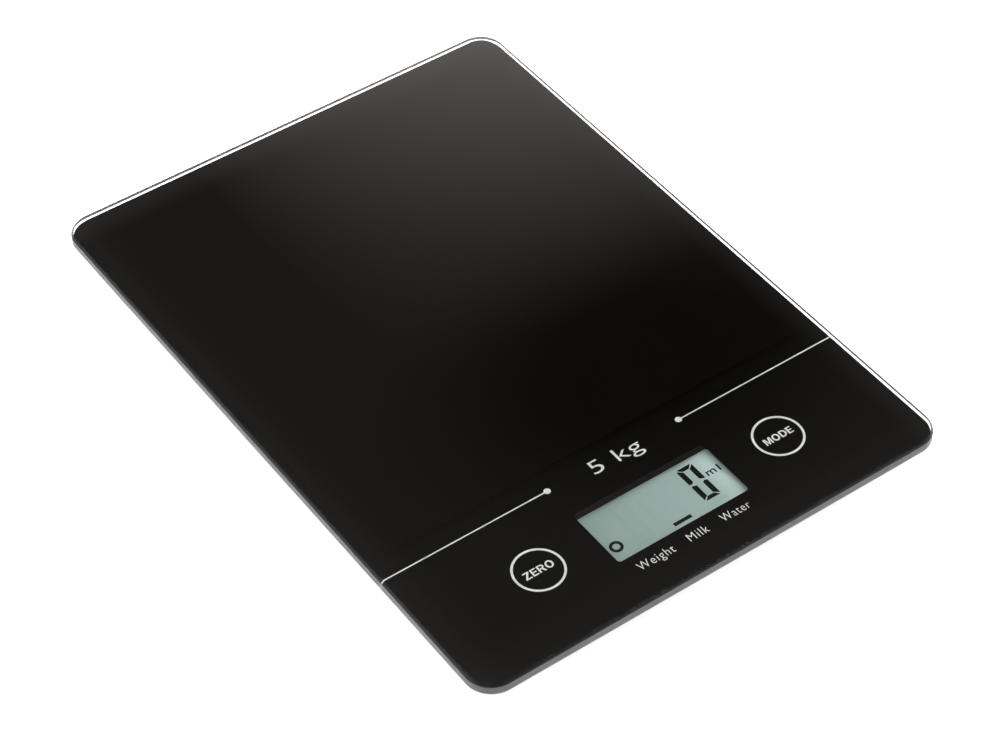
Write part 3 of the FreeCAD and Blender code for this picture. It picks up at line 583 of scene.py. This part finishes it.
def word(name, body, x0, x1, base, cap, z0, z1, mat, spacing=1.0, bold=0.0):
    """Thin closed letters: x0..x1 wide, capitals cap high, standing on base (mm)."""
    ref = text_mesh("H", bold=bold)
    h0, h1 = limits(ref)[2:]
    me = text_mesh(body, spacing, bold)
    lx0, lx1 = limits(me)[:2]
    sx = (x1 - x0) / (lx1 - lx0)
    sy = cap / (h1 - h0)
    for v in me.vertices:
        v.co = Vector(((x0 + (v.co.x - lx0) * sx) * MM, (base + (v.co.y - h0) * sy) * MM,
                       (z0 + (v.co.z + 0.5) * (z1 - z0)) * MM))
    bm = bmesh.new()
    bm.from_mesh(me)
    bmesh.ops.remove_doubles(bm, verts=bm.verts, dist=1e-7)
    ob = new_object(name, bm, (mat,))
    bpy.data.meshes.remove(me)
    bpy.data.meshes.remove(ref)
    for f in ob.data.polygons:
        f.material_index = 0
        f.use_smooth = False
    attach(ob, "platform")
    return ob


def label(name, body, x0, x1, base, cap, spacing=1.0, bold=0.0):
    return word(name, body, x0, x1, base, cap, MARK0, MARK1, ink_white, spacing, bold)


def arc(cx, cy, rx, ry, a0, a1, n=20):
    return [(cx + rx * math.cos(math.radians(a0 + (a1 - a0) * i / n)),
             cy + ry * math.sin(math.radians(a0 + (a1 - a0) * i / n))) for i in range(n + 1)]


# Bold capitals as outlines with their counters, on a cap height of 1: (width, outline, counters)
BOLD = {
    "Z": (0.70, [(0, 0), (0.70, 0), (0.70, 0.165), (0.245, 0.165), (0.70, 0.85), (0.70, 1), (0.02, 1),
                 (0.02, 0.835), (0.44, 0.835), (0, 0.15)], []),
    "E": (0.62, [(0, 0), (0.62, 0), (0.62, 0.16), (0.19, 0.16), (0.19, 0.43), (0.57, 0.43), (0.57, 0.585),
                 (0.19, 0.585), (0.19, 0.84), (0.61, 0.84), (0.61, 1), (0, 1)], []),
    "R": (0.74, [(0, 0), (0.19, 0), (0.19, 0.40), (0.36, 0.40), (0.55, 0), (0.76, 0)]
          + arc(0.42, 0.70, 0.30, 0.30, -64, 90) + [(0, 1)],
          [[(0.19, 0.55), (0.40, 0.55)] + arc(0.40, 0.695, 0.135, 0.145, -80, 80, 12) + [(0.40, 0.84), (0.19, 0.84)]]),
    "O": (0.84, arc(0.42, 0.5, 0.42, 0.52, 0, 352.5, 47), [arc(0.42, 0.5, 0.225, 0.345, 0, 350, 35)]),
    "M": (0.88, [(0, 0), (0.17, 0), (0.17, 0.74), (0.365, 0), (0.515, 0), (0.71, 0.74), (0.71, 0), (0.88, 0),
                 (0.88, 1), (0.625, 1), (0.44, 0.30), (0.255, 1), (0, 1)], []),
    "D": (0.76, [(0, 0), (0.34, 0)] + arc(0.34, 0.5, 0.42, 0.5, -85, 85) + [(0.34, 1), (0, 1)],
          [[(0.185, 0.16), (0.33, 0.16)] + arc(0.33, 0.5, 0.235, 0.34, -80, 80, 14) + [(0.33, 0.84), (0.185, 0.84)]]),
}


def bold_word(name, body, cx, cy, width, cap, gap=0.13):
    """Bold capitals centred on cx, cy."""
    total = sum(BOLD[c][0] for c in body) + gap * (len(body) - 1)
    sx = width / total
    x = cx - width / 2
    whole = bmesh.new()
    for c in body:
        w, outline, holes = BOLD[c]
        place = lambda pts: [(x + px * sx, cy + (py - 0.5) * cap) for px, py in pts]
        bm = bmesh.new()
        slab(bm, place(outline), MARK0, MARK1, tuple(place(h) for h in holes))
        tmp = bpy.data.meshes.new("letter")
        bm.to_mesh(tmp)
        bm.free()
        whole.from_mesh(tmp)
        bpy.data.meshes.remove(tmp)
        x += (w + gap) * sx
    ob = new_object(name, whole, (ink_white,))
    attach(ob, "platform")
    return ob


bold_word("zero_label", "ZERO", -KEY_X, KEY_Y, 9.6, 2.65)
bold_word("mode_label", "MODE", KEY_X, KEY_Y, 9.8, 2.55)
label("weight_label", "Weight", -19.7, -7.5, FRONT + 11.3, 2.75, 1.14, -0.09)
label("milk_label", "Milk", -2.3, 4.4, FRONT + 11.55, 2.75, 1.14, -0.09)
label("water_label", "Water", 9.5, 19.2, FRONT + 11.75, 2.75, 1.14, -0.09)
label("capacity_label", "5 kg", -8.6, 8.6, FRONT + 47.0, 4.9, 1.05, -0.05)

# ---------------------------------------------------------------- display
S0, S1 = LCD_TOP + 0.01, LCD_TOP + 0.07
DX0, DX1, DY0, DY1 = 11.55, 17.05, FRONT + 22.5, FRONT + 36.45   # outer box of the lit digit
BAR0, BAR1 = FRONT + 20.22, FRONT + 21.42                          # mode marker bars
TV, TH, GAP = 1.66, 1.34, 0.16                                     # stroke widths and the gap


def digit(bm, x0, segs):
    """Six- or seven-segment digit with mitred corners.  segs names the ones drawn."""
    x1 = x0 + DX1 - DX0
    ym = 0.5 * (DY0 + DY1)
    g = GAP
    lean = 0.0
    parts = {
        "a": [(x0 + 0.35, DY1), (x1 - 0.35, DY1), (x1 - TV, DY1 - TH), (x0 + TV, DY1 - TH)],
        "f": [(x0, DY1 - 0.42), (x0 + TV, DY1 - TH - g - 0.14), (x0 + TV, ym + 0.95), (x0 + 1.0, ym + 0.36),
              (x0, ym + 0.55)],
        "b": [(x1, DY1 - 0.42), (x1, ym + 0.25), (x1 - 0.55, ym + 0.36), (x1 - TV, ym + 0.95),
              (x1 - TV, DY1 - TH - g - 0.14)],
        "e": [(x0, DY0 + 0.42), (x0, ym - 0.55), (x0 + 0.55, ym - 0.30), (x0 + TV, ym - 0.70),
              (x0 + TV, DY0 + TH + g + 0.14)],
        "c": [(x1, DY0 + 0.42), (x1 - TV, DY0 + TH + g + 0.14), (x1 - TV, ym - 0.80), (x1 - 0.9, ym - 0.30),
              (x1, ym - 0.62)],
        "d": [(x0 + 0.35, DY0), (x0 + TV, DY0 + TH), (x1 - TV, DY0 + TH), (x1 - 0.35, DY0)],
        "g": [(x0 + 1.15, ym + 0.05), (x0 + TV + 0.25, ym + 0.6), (x1 - TV - 0.25, ym + 0.6),
              (x1 - 1.15, ym + 0.05), (x1 - TV - 0.25, ym - 0.5), (x0 + TV + 0.25, ym - 0.5)],
    }
    for s in segs:
        poly(bm, parts[s], S0, S1)


bm = bmesh.new()
digit(bm, DX0, "abcdef")
digit_ob = new_object("lcd_digit", bm, (lcd_on,))
bm = bmesh.new()
x_marker = (-1.0, 5.1)
poly(bm, [(x_marker[0], BAR0), (x_marker[1], BAR0), (x_marker[1], BAR1), (x_marker[0], BAR1)], S0, S1)
marker_ob = new_object("lcd_mode_marker", bm, (lcd_on,))
bm = bmesh.new()
ring_mesh(bm, -18.6, FRONT + 24.0, 2.06, 1.12, S0, S1, 64)
ring_ob = new_object("lcd_zero_ring", bm, (lcd_on,))
# segments at rest show as a faint shade
bm = bmesh.new()
for x0 in (3.6, -4.45, -12.5):
    digit(bm, x0, "abcdefg")
digit(bm, DX0, "g")
for x in (-13.6, 11.6):
    poly(bm, [(x, BAR0), (x + 6.1, BAR0), (x + 6.1, BAR1), (x, BAR1)], S0, S1)
for v in bm.verts:
    v.co.z = min(v.co.z, (S0 + 0.012) * MM)
ghost_ob = new_object("lcd_segments_off", bm, (lcd_off,))
for ob in (digit_ob, marker_ob, ring_ob, ghost_ob):
    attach(ob, "platform")

# the unit beside the digit: m and l on an x-height of 1
LETTER_M = ([(0, 0), (0.24, 0), (0.24, 0.60)] + arc(0.45, 0.60, 0.21, 0.20, 180, 0, 8)
            + [(0.66, 0), (0.90, 0), (0.90, 0.60)] + arc(1.11, 0.60, 0.21, 0.20, 180, 0, 8)
            + [(1.32, 0), (1.56, 0), (1.56, 0.62)] + arc(1.16, 0.62, 0.40, 0.40, 0, 90, 8)
            + [(1.00, 0.98), (0.84, 0.86), (0.70, 0.99), (0.52, 1.02), (0.36, 0.98), (0.24, 0.87), (0.24, 1), (0, 1)])
LETTER_L = [(0, 0), (0.26, 0), (0.26, 1.45), (0, 1.45)]
unit = bmesh.new()
for pts, x, y, w in ((LETTER_M, 18.15, FRONT + 29.5, 3.05), (LETTER_L, 22.2, FRONT + 29.4, 0.57)):
    sx = w / max(q[0] for q in pts)
    one = bmesh.new()
    slab(one, [(x + q[0] * sx, y + q[1] * 1.75) for q in pts], S0, S1)
    tmp = bpy.data.meshes.new("unit")
    one.to_mesh(tmp)
    one.free()
    unit.from_mesh(tmp)
    bpy.data.meshes.remove(tmp)
unit_ob = new_object("lcd_unit", unit, (lcd_on,))
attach(unit_ob, "platform")

# ------------------------------------------------------------------- stage
floor_mat, k, p = base_material("studio_floor", (0.86, 0.86, 0.86), 0.7, spec=0.2)
# a light table: it glows a little from below
p.inputs["Emission Color"].default_value = (1, 1, 1, 1)
p.inputs["Emission Strength"].default_value = 0.8
n = k.noise(9.0, 3.0, 0.5)
k.put(p.inputs["Base Color"], k.mix(n, (0.85, 0.85, 0.85, 1), (0.87, 0.87, 0.87, 1)))
# one-sided: it is a floor from above and nothing from below
out = floor_mat.node_tree.nodes["Material Output"]
clear = k.new("ShaderNodeBsdfTransparent")
sides = k.new("ShaderNodeMixShader")
k.put(sides.inputs[0], k.new("ShaderNodeNewGeometry").outputs["Backfacing"])
floor_mat.node_tree.links.new(p.outputs[0], sides.inputs[1])
floor_mat.node_tree.links.new(clear.outputs[0], sides.inputs[2])
floor_mat.node_tree.links.new(sides.outputs[0], out.inputs["Surface"])
bm = bmesh.new()
bmesh.ops.create_grid(bm, x_segments=2, y_segments=2, size=6.0)
bmesh.ops.translate(bm, verts=bm.verts, vec=(0, 0, -0.00005))
floor = new_object("studio_floor", bm, (floor_mat,))
if floor.data.polygons[0].normal.z < 0:
    floor.data.flip_normals()

# World: a soft ring of light overhead, a pale horizon, and a dark band between
# them, with one softer patch low down at the back right.
world = bpy.data.worlds.new("studio")
bpy.context.scene.world = world
world.use_nodes = True
k = Nodes(world.node_tree)
bg = world.node_tree.nodes["Background"]
sep = k.new("ShaderNodeSeparateXYZ")
k.put(sep.inputs[0], k.new("ShaderNodeTexCoord").outputs["Generated"])
dx, dy, dz = sep.outputs
ramp = k.new("ShaderNodeValToRGB")
el = ramp.color_ramp
el.interpolation = "LINEAR"
TOP = 6.0
stops = [(-1.0, 1.0), (0.0, 1.15), (0.342, 1.0), (0.515, 0.25), (0.815, 0.22), (0.855, 5.2),
         (0.968, 5.2), (0.984, 0.35), (1.0, 0.35)]
while len(el.elements) < len(stops):
    el.elements.new(0.5)
for e, (z, v) in zip(el.elements, stops):
    e.position = (z + 1) / 2
    e.color = (v / TOP, v / TOP, v / TOP, 1)
k.put(ramp.inputs[0], k.math("MULTIPLY_ADD", dz, 0.5, 0.5))
studio = k.math("MULTIPLY", ramp.outputs["Color"], TOP)
# the overhead light is stronger from the left and the back
lean = k.math("ADD", k.math("MULTIPLY", dx, -1.15), k.math("MULTIPLY", dy, 0.35))
high = k.rng(dz, 0.80, 0.86, 0.0, 1.0)
studio = k.math("MULTIPLY", studio, k.math("MULTIPLY_ADD", k.math("MULTIPLY", lean, high), 1.0, 1.0))
zz = k.math("MAXIMUM", dz, 0.05)
X = k.math("SUBTRACT", k.math("MULTIPLY", k.math("DIVIDE", dx, zz), 589.4), 332.06)
Y = k.math("SUBTRACT", k.math("MULTIPLY", k.math("DIVIDE", dy, zz), 589.4), 498.35)
t = k.rng(X, -35.0, 98.0, 0.0, 1.255)
A = k.math("MULTIPLY", k.math("POWER", k.math("MINIMUM", k.math("MAXIMUM", k.math("ADD", Y, 15.0), 0.001), 150.0), 1.27), 0.17)
ex = k.math("DIVIDE", k.math("SUBTRACT", X, 30.0), 75.0)
ey = k.math("DIVIDE", k.math("ADD", Y, 42.0), 55.0)
rr = k.math("SQRT", k.math("ADD", k.math("MULTIPLY", ex, ex), k.math("MULTIPLY", ey, ey)))
base = k.math("ADD", k.rng(rr, 0.3, 1.3, 2.0, 8.0, True), k.rng(X, -62.0, -80.0, 0.0, 3.0, True))
for axis, lo, hi, gain in ((X, 69.0, 78.0, 5.5), (X, -70.0, -78.0, 2.0), (Y, 99.0, 109.0, 9.0), (Y, -99.0, -110.0, 2.0)):
    base = k.math("ADD", base, k.rng(axis, lo, hi, 0.0, gain, True))
lum = k.math("ADD", base, k.math("MULTIPLY", A, t))
R = k.rng(dz, 0.629, 0.783, 0.0593, 0.0448)
patch = k.math("DIVIDE", k.math("MULTIPLY", lum, 0.001), R)
mask = k.math("MULTIPLY", k.rng(k.math("ABSOLUTE", X), 85.0, 130.0, 1.0, 0.0, True),
              k.rng(k.math("ABSOLUTE", Y), 118.0, 165.0, 1.0, 0.0, True))
mask = k.math("MULTIPLY", mask, k.rng(dz, 0.30, 0.40, 0.0, 1.0))
patch_rgb = k.new("ShaderNodeCombineColor")
for i, v in enumerate((1.09, 0.985, 0.93)):
    k.put(patch_rgb.inputs[i], k.math("MULTIPLY", patch, v))
k.put(bg.inputs["Color"], k.mix(mask, studio, patch_rgb.outputs[0]))
bg.inputs["Strength"].default_value = 1.0

# ------------------------------------------------------------------ camera
cam_data = bpy.data.cameras.new("camera")
cam_data.lens = 102.522
cam_data.sensor_width = 36.0
cam_data.sensor_fit = "HORIZONTAL"
cam_data.clip_start = 0.01
cam = bpy.data.objects.new("camera", cam_data)
bpy.context.scene.collection.objects.link(cam)
right = Vector((0.81568466, -0.57808293, -0.02187829))
up = Vector((0.4246835, 0.57269826, 0.70118516))
fwd = Vector((0.39281351, 0.58123733, -0.71264347))
rot = Matrix((right, up, -fwd)).transposed()
cam.matrix_world = Matrix.Translation(Vector((-0.3320588, -0.4983535, 0.6054071))) @ rot.to_4x4()
bpy.context.scene.camera = cam
bpy.context.scene.view_settings.view_transform = "Standard"
